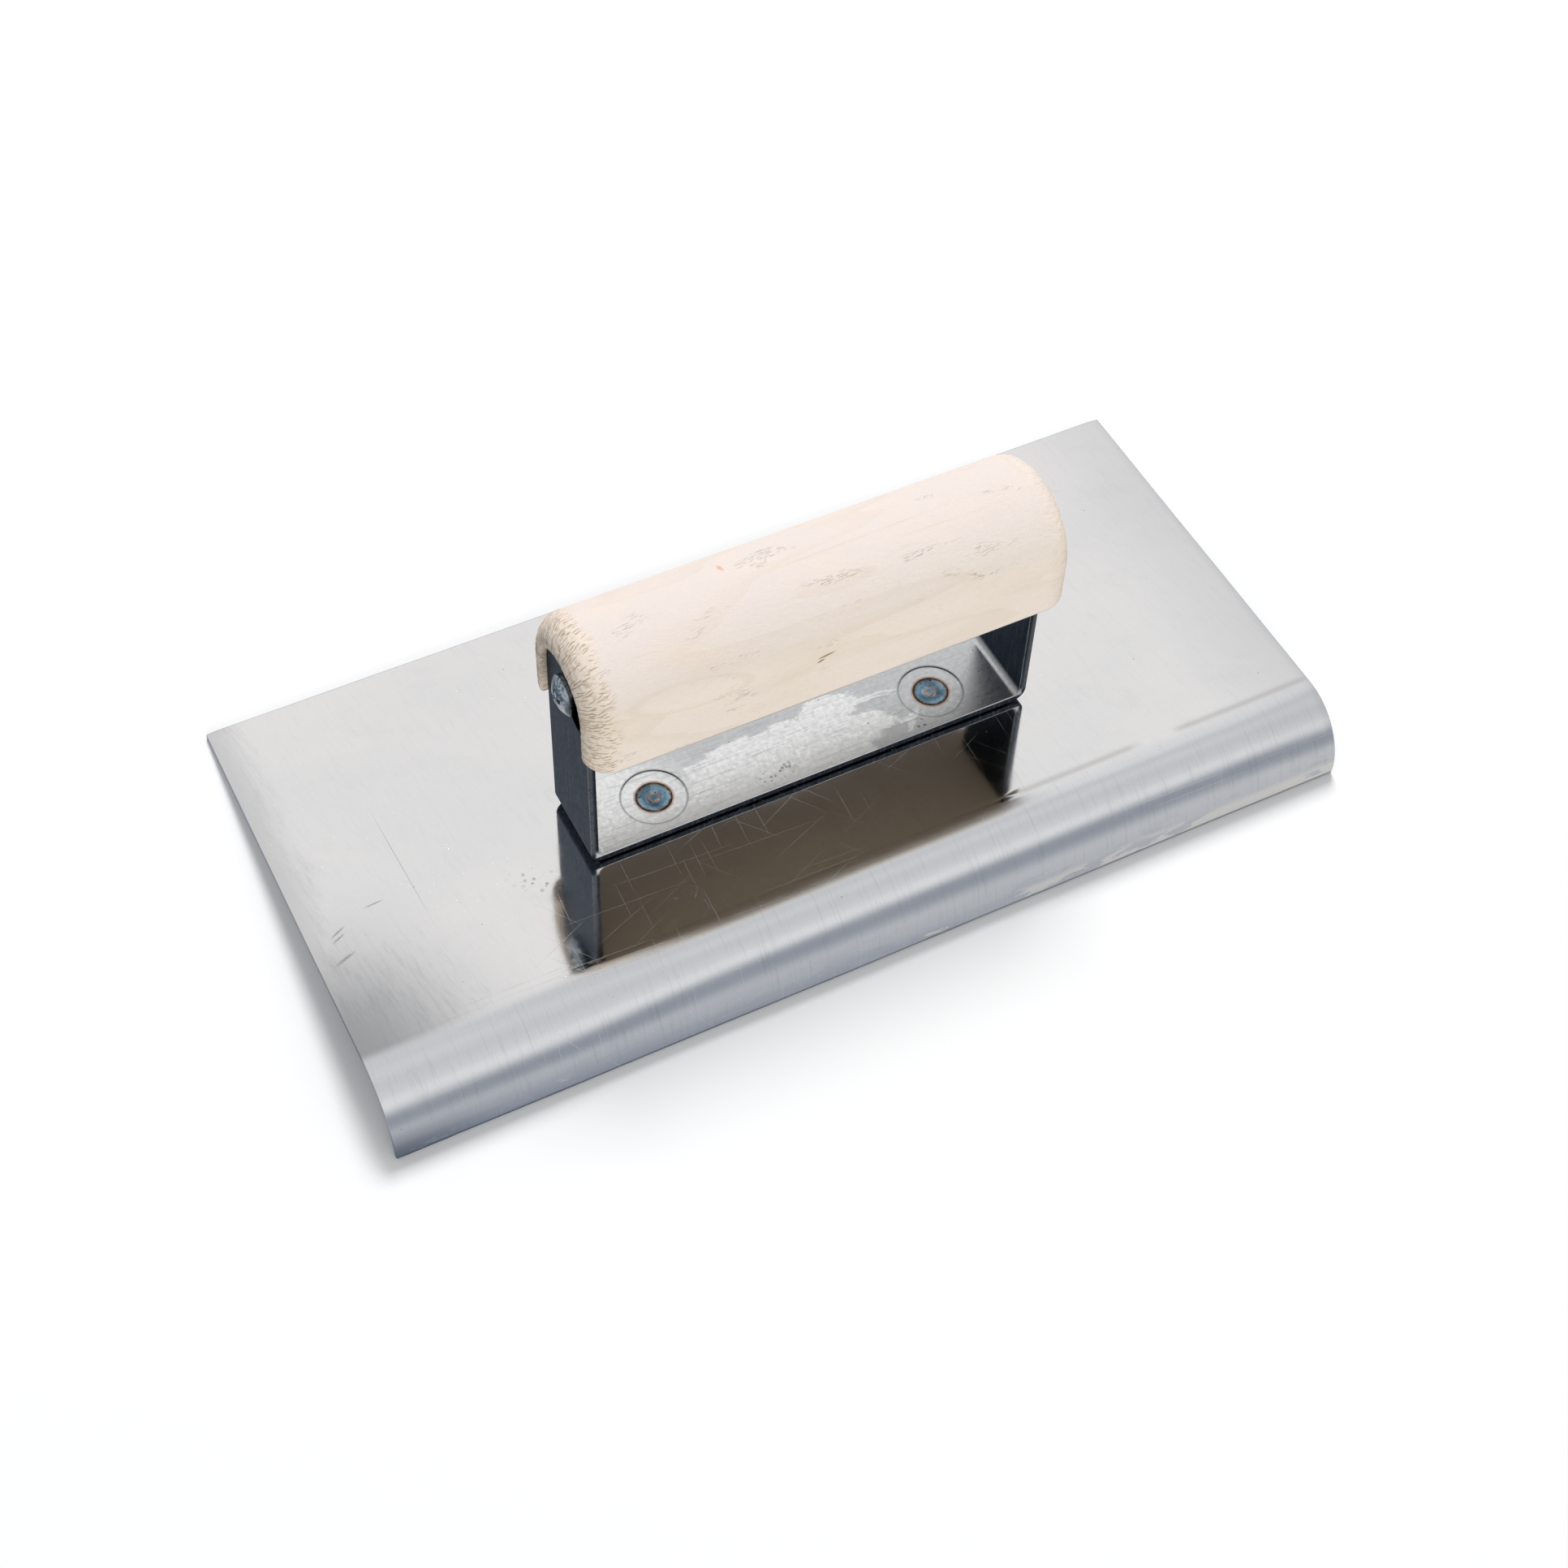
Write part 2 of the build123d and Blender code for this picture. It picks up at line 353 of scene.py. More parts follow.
def add_lip(s, color, sheet, on_lip):
    """The lip's colours over the flat's with painted reflected shade low down, and how far dried residue
    covers the metal.
    """
    x, y, _ = s.axes(sheet)
    color = s.mix(on_lip, color, STEEL["lip"])
    across = s.noise(s.stretch(sheet, (0.9, 0.05, 1), 0, (6, 1, 0)), detail=6.0, rough=0.8)
    color = s.mix(s.times(on_lip, s.ramp(across, 0.50, 0.70), 0.30), color, STEEL["lip_wear"])
    # the low part of the lip at its left end is worn dull and also painted darker, standing in for the
    # reflected contact shadow
    dull_and_shaded_end = s.ramp(s.math("ADD", x, s.times(across, 20.0)), -117, -88, 0.75, 0.0)
    low_down = s.ramp(y, LIP_START - 26, LIP_START - 17, 1.0, 0.0)
    color = s.mix(s.times(dull_and_shaded_end, low_down), color, STEEL["lip_dull_and_shade"])
    # dried residue has torn borders, and spreads to a pale film towards the right
    torn = s.noise(s.stretch(sheet, (0.045, 0.16, 1), 0, (7, 3, 0)), detail=7.0, rough=0.65)
    residue = s.times(s.ramp(torn, 0.545, 0.56), low_down)
    color = s.mix(s.times(residue, 0.35), color, STEEL["residue"])
    film = s.ramp(s.math("ADD", torn, s.ramp(x, -10, 110, -0.12, 0.14)), 0.52, 0.535)
    film = s.times(film, s.ramp(y, LIP_START - 24.5, LIP_START - 22, 1.0, 0.0))
    color = s.mix(s.times(film, 0.85), color, STEEL["film"])
    # painted shade: the lip's bottom edge is painted dark, standing in for the reflected contact shadow on
    # the floor
    rim = s.ramp(y, LIP_START - 27.3, LIP_START - 26.5, 1.0, 0.0)
    return s.mix(s.times(rim, 0.8), color, STEEL["rim"]), s.most(residue, film)


def blade_material():
    """Bright rolled stainless: clear reflections under a fine haze, wiped smears and a satin lip."""
    s = Surface("stainless_sheet")
    sheet = s.attribute("sheet_mm", "Vector")
    pressed = s.attribute("press_mark")
    fine, deep = blade_scratches(s, sheet)
    pits = blade_pits(s, sheet)
    on_lip = s.ramp(s.axes(sheet)[1], LIP_START - 3, LIP_START + 0.5, 1.0, 0.0)
    smear = s.noise(s.stretch(sheet, (0.05, 0.10, 1), 25, (3, 1, 0)), detail=6.0, rough=0.7)
    rolled = s.noise(s.stretch(sheet, (0.05, 2.6, 1)), detail=3.0, rough=0.6)
    rubbed = s.noise(s.stretch(sheet, (0.60, 0.08, 1), -7, (2, 5, 0)), detail=8.0, rough=0.80)
    worn, corner = worn_left_end(s, sheet, rubbed)

    color = flat_color(s, sheet, smear, rubbed, worn, corner)
    color, residue = add_lip(s, color, sheet, on_lip)
    color = s.mix(s.times(pressed, 0.50), color, STEEL["pressed"])
    color = s.mix(s.times(fine, 0.30), color, STEEL["scratch"])
    color = s.mix(s.times(deep, 0.80), color, STEEL["scuff"])
    color = s.mix(s.times(pits, 0.7), color, STEEL["pit"])

    rough = s.ramp(smear, 0.35, 0.72, 0.060, 0.100)
    rough = s.math("ADD", rough, s.times(s.most(on_lip, s.times(worn, 0.6)), 0.15))
    rough = s.math("ADD", rough, s.times(s.most(fine, deep, residue), 0.20), clamp=True)
    # bare scratches scatter light, so they show pale where the sheet reflects something dark
    metallic = s.ramp(s.most(deep, fine, pits), 0.0, 1.0, 1.0, 0.72)
    s.plug(s.shader.inputs["Metallic"], metallic)
    normal = s.relief((rolled, 0.0012), (rubbed, 0.0018), (deep, -0.012))
    return s.finish(color, rough, normal)


# ------------------------------------------------------------------ strap material
MILL_STEEL = {
    "dull": rgb(0.60, 0.605, 0.61), "bright": rgb(0.90, 0.90, 0.895), "mottle": rgb(0.58, 0.58, 0.575),
    "grain": rgb(0.33, 0.34, 0.36), "speck": rgb(0.16, 0.15, 0.14), "halo": rgb(0.42, 0.22, 0.12),
    "seat_shade_line": rgb(0.20, 0.21, 0.22),
}
SCALE_AND_SHADE = {
    "dark": rgb(0.018, 0.023, 0.031), "light": rgb(0.042, 0.050, 0.063),
    "grain": rgb(0.100, 0.115, 0.135), "edge_highlight": rgb(0.42, 0.44, 0.45), "sheen": rgb(0.52, 0.55, 0.60),
}
PITTED = ((-7.8, -6.4), 6, 9, 3.2, 0.9)             # fine pits along the front of the strap's middle
BURNT = ((31, -8.2), 0, 2.6, 2.0, 0.5)              # coarser ones beside the right weld


def scale_and_shade_parts(s, point):
    """Where the strap is dark: mill scale on its legs, its outside and its thin long sides, also painted
    shade for the dark surroundings they reflect.
    """
    x, y, z = s.axes(point)
    low_down = s.ramp(z, FLOOR_TOP - 0.55, FLOOR_TOP - 0.45, 1.0, 0.0)
    long_side = s.ramp(s.size(y), STRAP["half_width"] - 1.2, STRAP["half_width"] - 0.8)
    long_side = s.times(long_side, s.ramp(z, FLOOR_TOP - 0.35, FLOOR_TOP - 0.2, 1.0, 0.0))
    outside = s.ramp(s.size(x), STRAP["half_length"] - 1.5, STRAP["half_length"] - 0.9)
    leg = s.ramp(z, FLOOR_TOP + 0.6, FLOOR_TOP + 2.6)
    return s.most(low_down, long_side, outside, leg), leg


def strap_specks(s, point):
    flat = s.stretch(point, (1, 1, 0))
    scattered = s.most(s.specks(point, 2.6, 0.07, 0.22), s.specks(point, 4.2, 0.07, 0.3, turn=30))
    pitted = s.times(s.mark(flat, *PITTED), s.specks(flat, 1.0, 0.46, 0.7, turn=15))
    burnt = s.times(s.mark(flat, *BURNT), s.specks(flat, 1.1, 0.52, 0.8, turn=50))
    return s.most(scattered, pitted, burnt)


def bare_color(s, point, mottle, grain):
    """The strap's bare top: a bright patch, grain, specks, a halo at each weld and a painted shade line
    round its seat.
    """
    x, y, _ = s.axes(point)
    clouds = s.stretch(point, (0.040, 0.085, 0.1), 0, (4.3, 2, 0))
    clouds = s.noise(clouds, detail=7.0, rough=0.62, warp=0.3)
    from_middle = s.near(s.stretch(point, (0.034, 0.085, 0)), (-0.04, -0.25, 0))
    patch = s.ramp(s.math("SUBTRACT", s.times(clouds, 1.8), from_middle), -0.20, -0.12)
    left_part = s.ramp(s.math("ADD", x, y), -36, -16, 0.95, 0.0)
    color = s.mix(s.most(patch, left_part), MILL_STEEL["dull"], MILL_STEEL["bright"])
    color = s.mix(s.ramp(mottle, 0.42, 0.70, 0.0, 0.35), color, MILL_STEEL["mottle"])
    color = s.mix(s.times(s.ramp(grain, 0.52, 0.68), 0.50), color, MILL_STEEL["grain"])
    color = s.mix(s.times(strap_specks(s, point), 0.7), color, MILL_STEEL["speck"])
    for sign in (-1, 1):
        away = s.near(point, (sign * WELD["from_middle"], 0, FLOOR_TOP - WELD["sunk"]))
        halo = s.times(s.ramp(away, WELD["disc"] + 0.1, WELD["disc"] + 0.7, 1.0, 0.0), 0.75)
        color = s.mix(halo, color, MILL_STEEL["halo"])
        # painted shade: a dark line along the step at the rim of each weld's seat
        off_line = s.size(s.math("SUBTRACT", away, WELD["seat"]))
        color = s.mix(s.ramp(off_line, 0.05, 0.50, 0.60, 0.0), color, MILL_STEEL["seat_shade_line"])
    return color


def scale_and_shade_color(s, point, mottle, tall_grain, leg):
    """Dark blue mill scale with upright grain, also painted shade, with a painted highlight along the
    corners of the legs.
    """
    x, y, _ = s.axes(point)
    color = s.mix(s.ramp(mottle, 0.35, 0.7), SCALE_AND_SHADE["dark"], SCALE_AND_SHADE["light"])
    color = s.mix(s.times(s.ramp(tall_grain, 0.50, 0.64), 0.6), color, SCALE_AND_SHADE["grain"])
    # a painted highlight along the corners of the legs, on their broad faces and on the outer part of
    # their thin sides
    corner = s.ramp(s.size(y), STRAP["half_width"] - 0.32, STRAP["half_width"] - 0.1)
    thin_side = s.ramp(s.facing_x(), 0.1, 0.35, 1.0, 0.0)
    outer_half = s.ramp(s.size(x), STRAP["half_length"] - 1.6, STRAP["half_length"] - 0.7)
    broad_corner = s.times(corner, s.math("SUBTRACT", 1.0, thin_side))
    painted_edge_highlight = s.most(broad_corner, s.times(thin_side, outer_half, 0.5))
    painted_edge_highlight = s.times(painted_edge_highlight, leg, s.ramp(mottle, 0.25, 0.5), 0.6)
    return s.mix(painted_edge_highlight, color, SCALE_AND_SHADE["edge_highlight"])


def strap_material():
    """Mill-finish steel strap: bright and blotchy on the floor, dark blue scale on the legs, also painted
    shade.
    """
    s = Surface("strap_steel")
    point = s.mm()
    # scaled: dark mill scale, also painted shade for the dark surroundings that the legs and sides reflect
    scaled, leg = scale_and_shade_parts(s, point)
    grain = s.noise(s.stretch(point, (0.06, 2.2, 0.4)), detail=5.0, rough=0.7)
    tall_grain = s.noise(s.stretch(point, (1.2, 2.4, 0.07)), detail=5.0, rough=0.7)
    mottle = s.noise(point, 0.8, detail=6.0, rough=0.75)
    # painted shadow beside each screw head: the strap there is painted black, and its specular tint too
    beside_screw = s.near(s.stretch(point, (0, 1, 1)), (0, -6.0, SCREW["height"] - 1.0))
    painted_screw_shadow = s.ramp(beside_screw, 3.4, 5.4, 1.0, 0.0)

    scale = s.mix(painted_screw_shadow, scale_and_shade_color(s, point, mottle, tall_grain, leg), BLACK)
    color = s.mix(scaled, bare_color(s, point, mottle, grain), scale)
    rough = s.ramp(mottle, 0.3, 0.75, 0.26, 0.42)
    normal = s.relief((mottle, 0.012), (s.mix(leg, grain, tall_grain), 0.008))
    sheen = s.mix(painted_screw_shadow, s.mix(scaled, WHITE, SCALE_AND_SHADE["sheen"]), BLACK)
    s.plug(s.shader.inputs["Specular Tint"], sheen)
    return s.finish(color, rough, normal, Metallic=1.0)


# ------------------------------------------------------------------ weld material
HEAT_TINT = [   # share of the weld's radius, and the colour there
    (0.00, rgb(0.16, 0.24, 0.33)), (0.22, rgb(0.28, 0.34, 0.40)), (0.32, rgb(0.50, 0.38, 0.33)),
    (0.40, rgb(0.36, 0.42, 0.47)), (0.55, rgb(0.12, 0.27, 0.44)), (0.68, rgb(0.20, 0.36, 0.44)),
    (0.80, rgb(0.42, 0.48, 0.48)), (0.90, rgb(0.12, 0.10, 0.11)), (1.00, rgb(0.02, 0.02, 0.025)),
]
WELD_SHADE = rgb(0.34, 0.36, 0.37)
SOOT = rgb(0.02, 0.02, 0.025)


def weld_material(side, x):
    """Heat tint in rings: dark rim, teal and blue inside it, and a pinkish ring round the button."""
    s = Surface(f"weld_tint_{side}")
    point = s.mm()
    blotch = s.noise(point, 0.9, detail=4.0, rough=0.7)
    radius = s.near(point, (x, 0, FLOOR_TOP - WELD["sunk"]))
    radius = s.math("ADD", radius, s.times(s.math("SUBTRACT", blotch, 0.5), 1.2))
    rings = s.color_stops(s.math("DIVIDE", radius, WELD["disc"] + 0.1), HEAT_TINT)
    patch = s.noise(s.stretch(point, (1, 1, 1), 0, (3, 5, 0)), 0.35, detail=3.0)
    color = s.mix(s.times(s.ramp(patch, 0.44, 0.56), 0.65), rings, WELD_SHADE, "MULTIPLY")
    soot = s.ramp(s.noise(point, 1.5, detail=3.0), 0.63, 0.68, 0.0, 0.9)
    color = s.mix(soot, color, SOOT)
    rough = s.ramp(blotch, 0.3, 0.7, 0.28, 0.5)
    return s.finish(color, rough, s.relief((blotch, 0.03)), Metallic=0.85)


# ------------------------------------------------------------------ wood material
# Marks on the wood are placed on its surface unrolled from the top of the arch, +Y the near side.
WOOD = {
    "side": rgb(0.735, 0.65, 0.55), "top": rgb(0.585, 0.522, 0.485), "stain": rgb(0.66, 0.555, 0.43),
    "late": rgb(0.46, 0.32, 0.20), "fibre": rgb(0.58, 0.45, 0.32), "fuzz": rgb(0.50, 0.40, 0.28),
    "rough_spot": rgb(0.46, 0.35, 0.23), "pore": rgb(0.36, 0.25, 0.16), "knot": rgb(0.60, 0.22, 0.06),
    "nick": rgb(0.22, 0.12, 0.045), "end": rgb(0.70, 0.57, 0.41), "torn": rgb(0.36, 0.23, 0.12),
    "painted_shade_near": rgb(0.26, 0.190, 0.105), "painted_shade_far": rgb(0.13, 0.092, 0.048),
}
ROUGH_SPOTS = [     # place, slope, half length, half width and how soft the rim is
    ((3.1, 8.4), 6, 12, 1.8, 0.9), ((26.0, 9.8), 0, 12, 1.5, 0.9), ((38.0, 19.0), 12, 7, 2.0, 0.9),
]
STREAKS = [         # long darker fibres
    ((14.0, 1.0), -1, 46, 0.55, 0.9), ((36.0, 4.6), 1, 24, 0.45, 0.9), ((-40.0, 10.2), 3, 11, 0.5, 0.9),
]
TONGUE = ((-36, 22.5), 6, 17, 4.2, 0.35)            # one closed loop of the grain
KNOT = ((-18.9, -4.6), 80, 1.7, 0.7)
NICKS = [((-3.0, 25.2), -8, 2.9, 0.34), ((-4.4, 26.3), -14, 1.3, 0.36)]


def unroll_arch(s, point):
    """X along the handle, and Y round its arch from the top, positive on the near side."""
    x, y, z = s.axes(point)
    upward = s.math("SUBTRACT", z, HANDLE["arch_centre"])
    angle = s.math("ARCTAN2", s.math("MULTIPLY", y, -1.0), s.math("MAXIMUM", upward, 0.0))
    below_centre = s.math("MINIMUM", upward, 0.0)
    around = s.math("SUBTRACT", s.times(angle, HANDLE["half_width"]), below_centre)
    return s.node("CombineXYZ", {"X": x, "Y": around}).outputs[0]


def grain_lines(s, unrolled, fibre):
    """The darker late wood: wandering growth lines, one loop's outline and a few long fibres."""
    wander = s.noise(s.stretch(unrolled, (0.007, 0.045, 1), 0, (3, 2, 0)), detail=2.0, rough=0.4)
    late = s.ramp(s.math("FRACT", s.times(wander, 8.0)), 0.55, 1.0)
    tongue = s.mark(unrolled, *TONGUE)
    outline = s.times(tongue, s.math("SUBTRACT", 1.0, tongue), 2.6)
    streaks = s.times(s.marks(unrolled, STREAKS), s.ramp(fibre, 0.35, 0.6))
    return s.most(s.times(late, 0.5), outline, streaks)


def open_pores(s, unrolled, rough_spots):
    """Short dark pores, crowded in patches and in the rough spots."""
    long_pores = s.lines(unrolled, 0, 1.7, 0.55, 0.10, 0.36, 3.0)
    short_pores = s.lines(unrolled, 9, 0.9, 0.5, 0.10, 0.36, 17.0)
    patches = s.noise(s.stretch(unrolled, (0.06, 0.16, 1), 0, (2, 2, 7)), detail=4.0, rough=0.6)
    crowded = s.most(s.ramp(patches, 0.58, 0.66, 0.05, 0.7), rough_spots)
    return s.times(s.most(long_pores, short_pores), crowded)


def torn_flecks(s, unrolled, band):
    """Brown dashes in the torn band at each end, thinner at the right one."""
    steep = s.lines(unrolled, 22, 1.9, 0.80, 0.20, 0.45, 5.0)
    level = s.lines(unrolled, -4, 1.4, 0.95, 0.18, 0.4, 41.0)
    rougher_end = s.ramp(s.axes(unrolled)[0], -40, 40, 1.0, 0.55)
    return s.times(band, s.most(steep, level), rougher_end)


def underside(s, color, point):
    """The flat underside painted darker and browner as shade, most of all towards the back."""
    _, y, z = s.axes(point)
    under = s.ramp(z, HANDLE["bottom"] + 0.1, HANDLE["bottom"] + 0.9, 0.80, 0.0)
    brown = s.mix(s.ramp(y, -12, 16), WOOD["painted_shade_near"], WOOD["painted_shade_far"])
    return s.mix(under, color, brown)


def wood_material():
    """Bare pale hardwood: faint grain, short open pores in patches, and torn tan ends."""
    s = Surface("pale_wood")
    point = s.mm()
    unrolled = unroll_arch(s, point)
    band = s.attribute("end_band")
    crevice = s.attribute("torn")
    fibre = s.noise(s.stretch(point, (0.05, 1.5, 1.5)), detail=4.0, rough=0.65)
    fuzz = s.noise(s.stretch(point, (0.60, 1.3, 1.3)), detail=7.0, rough=0.85)
    stain = s.noise(s.stretch(unrolled, (0.04, 0.10, 1), 0, (1, 6, 2)), detail=5.0, rough=0.6)
    rough_spots = s.marks(unrolled, ROUGH_SPOTS)
    pores = open_pores(s, unrolled, rough_spots)
    flecks = torn_flecks(s, unrolled, band)

    # painted light: the top is painted darker and less yellow than the sides, to match how the light falls
    # on it
    color = s.mix(s.ramp(s.axes(point)[2], 56, 70), WOOD["side"], WOOD["top"])
    color = s.mix(s.ramp(stain, 0.50, 0.74, 0.0, 0.36), color, WOOD["stain"])
    color = s.mix(s.times(grain_lines(s, unrolled, fibre), 0.20), color, WOOD["late"])
    color = s.mix(s.ramp(fibre, 0.52, 0.74, 0.0, 0.12), color, WOOD["fibre"])
    color = s.mix(s.ramp(fuzz, 0.53, 0.68, 0.0, 0.26), color, WOOD["fuzz"])
    color = s.mix(s.times(rough_spots, s.ramp(fuzz, 0.50, 0.60), 0.16), color, WOOD["rough_spot"])
    color = s.mix(s.times(pores, 0.60), color, WOOD["pore"])
    knot = s.times(s.mark(unrolled, *KNOT), s.ramp(fuzz, 0.36, 0.56), 0.75)
    color = s.mix(knot, color, WOOD["knot"])
    color = s.mix(s.times(s.marks(unrolled, NICKS), 0.85), color, WOOD["nick"])
    ends = s.ramp(s.facing_x(), 0.30, 0.9)
    color = s.mix(s.most(s.times(band, 0.30), s.times(ends, 0.35)), color, WOOD["end"])
    color = s.mix(s.most(s.times(crevice, 0.26), s.times(flecks, 0.74)), color, WOOD["torn"])
    # painted shade under the handle
    color = underside(s, color, point)
    rough = s.ramp(fibre, 0.3, 0.7, 0.58, 0.75)
    normal = s.relief((fuzz, 0.16), (fibre, 0.02), (s.most(pores, flecks), -0.14))
    return s.finish(color, rough, normal, Specular_IOR_Level=0.3)


# ------------------------------------------------------------------ screw material
ZINC = {
    "dark": rgb(0.12, 0.16, 0.20), "light": rgb(0.66, 0.72, 0.74), "recess": rgb(0.02, 0.025, 0.03),
    "near_rim_shadow": rgb(0.03, 0.035, 0.04),
}


def screw_material():
    """Zinc plate: pale blue-grey, mottled and pitted, with painted shade in the recess and a painted
    shadow on the near rim.
    """
    s = Surface("zinc_plate")
    point = s.mm()
    x, y, _ = s.axes(point)
    mottle = s.noise(point, 0.45, detail=5.0, rough=0.7, warp=0.8)
    fine = s.noise(point, 2.0, detail=3.0)
    off_axis = s.near(s.stretch(point, (0, 1, 1)), (0, 0, SCREW["height"]))
    # painted shade: the head's recess is painted near black
    recess = s.ramp(s.size(x), SCREW["crown"] - 1.1, SCREW["crown"] - 0.6, 1.0, 0.0)
    recess = s.times(recess, s.ramp(off_axis, 2.7, 3.0, 1.0, 0.0))
    color = s.mix(s.ramp(mottle, 0.42, 0.59), ZINC["dark"], ZINC["light"])
    color = s.mix(s.times(recess, 0.9), color, ZINC["recess"])
    # a painted shadow on the near side of the head's rim
    color = s.mix(s.ramp(y, -4.7, -3.2, 0.85, 0.0), color, ZINC["near_rim_shadow"])
    rough = s.ramp(mottle, 0.35, 0.7, 0.22, 0.42)
    normal = s.relief((fine, 0.012), (mottle, 0.04))
    return s.finish(color, rough, normal, Metallic=1.0)


# ------------------------------------------------------------------ pieces
def add_piece(name, points, faces, material, replaces, smooth_angle):
    """A mesh given in the tool's frame, in millimetres, put in the resting pose and on the frame."""
    mesh = bpy.data.meshes.new(name)
    mesh.from_pydata([tuple(p) for p in points], [], faces)
    mesh.transform(AT_REST @ Matrix.Scale(MM, 4))
    mesh.validate()
    piece = bpy.data.objects.new(name, mesh)
    bpy.context.scene.collection.objects.link(piece)
    dress(piece, material, smooth_angle)
    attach(piece, "root")
    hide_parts(replaces)
    return piece


def dress(piece, material, smooth_angle):
    piece.data.materials.clear()
    piece.data.materials.append(material)
    for polygon in piece.data.polygons:
        polygon.use_smooth = True
    piece.data.set_sharp_from_angle(angle=math.radians(smooth_angle))


def set_values(mesh, name, values):
    """One number on each point of the mesh, for its material to read."""
    layer = mesh.attributes.new(name, "FLOAT", "POINT")
    layer.data.foreach_set("value", values)


# ------------------------------------------------------------------ blade
EASE = [        # distance past the bend line and how much flatter the lip is there, in radians
    (0.0, 0.0), (3.1, 0.18), (7.8, 0.0), (14.0, -0.098), (22.0, 0.0),
]
PRESSED = [     # from where to where along the blade the press marked the sheet, and how strongly
    (-127, -62, 0.35), (-62, 41, 0.6), (41, 76, 1.0), (88, 127, 1.0),
]
PRESS_DEPTH = 0.05
EDGE_ARC = (0, 25, 50, 75, 90)      # degrees at which a rounded edge gets a row of points


def edge_stops(length, radius, step):
    """Stations from 0 to length, close together over the rounded edge at each end."""
    near = [radius * (1 - math.cos(math.radians(a))) for a in EDGE_ARC]
    count = max(2, round((length - 2 * radius) / step))
    middle = [radius + (length - 2 * radius) * i / count for i in range(1, count)]
    return sorted(set(near) | {length - d for d in near} | set(middle))


def rounded_in(distance, radius):
    """How far a quarter round of this radius pulls a surface in at a distance from its edge."""
    inside = max(radius - distance, 0.0)
    return radius - math.sqrt(radius * radius - inside * inside)


def blade_mid(s):
    """Middle of the sheet at distance s from the plain edge, as (y, z), and its upward normal."""
    turn = min(max((s - FLAT_WIDTH) / BEND_RADIUS, 0.0), BLADE["lip_turn"])
    past = max(s - FLAT_WIDTH - BEND_RADIUS * BLADE["lip_turn"], 0.0)
    y = BLADE["behind"] - min(s, FLAT_WIDTH) - BEND_RADIUS * math.sin(turn) - past * math.cos(turn)
    z = -HALF_SHEET - BEND_RADIUS * (1 - math.cos(turn)) - past * math.sin(turn)
    return (y, z), (-math.sin(turn), math.cos(turn))


def eased(t):
    """How far the lip stands out of a true quarter round because its bend starts gently, in mm."""
    raised = 0.0
    for (start, slope), (end, next_slope) in zip(EASE, EASE[1:]):
        if t <= start:
            break
        share = min((t - start) / (end - start), 1.0)
        here = slope + (next_slope - slope) * share
        raised += (slope + here) / 2 * share * (end - start)
    return raised


def press_mark(x, s):
    """How strongly the press brake's tool marked the sheet here, 0 to 1."""
    strength = 0.0
    for start, end, depth in PRESSED:
        inside = smoothstep(start - 2, start + 2, x) * smoothstep(end + 2, end - 2, x)
        strength = max(strength, depth * inside)
    line = FLAT_WIDTH - 0.3 + 0.25 * noise.noise((x / 30, 0, 2))
    patchy = 0.35 + 0.65 * smoothstep(-0.1, 0.3, noise.noise((x / 6, 4, s / 3)))
    second = 0.4 * math.exp(-((s - line + 1.9) / 0.25) ** 2) * smoothstep(-66, -80, x)
    width = 0.34 + 0.50 * smoothstep(35, 45, x)
    mark = strength * math.exp(-((s - line) / width) ** 2) + second
    return mark * patchy if x < 40 else mark


def waviness(x, s):
    """How far the real sheet stands off the ideal one, in mm, at x from its left end."""
    wave = 0.18 * noise.noise((x / 48, s / 42, 1)) + 0.045 * noise.noise((x / 18, s / 22, 7))
    not_left = smoothstep(40, 95, x)
    not_right_end = smoothstep(BLADE["length"] + 20, BLADE["length"] - 30, x)
    return wave + eased(s - FLAT_WIDTH) * not_left * not_right_end


def sheet_faces(rows, columns):
    """Quads for a top and a bottom grid of points, and for the edge that joins them."""
    under = rows * columns
    faces = []
    for i in range(rows - 1):
        for j in range(columns - 1):
            a = i * columns + j
            b = a + columns
            faces.append((a, a + 1, b + 1, b))
            faces.append((under + b, under + b + 1, under + a + 1, under + a))
    rim = list(range(columns))
    rim += [i * columns + columns - 1 for i in range(1, rows)]
    rim += [(rows - 1) * columns + j for j in range(columns - 2, -1, -1)]
    rim += [i * columns for i in range(rows - 2, 0, -1)]
    for here, after in zip(rim, rim[1:] + rim[:1]):
        faces.append((here, under + here, under + after, after))
    return faces


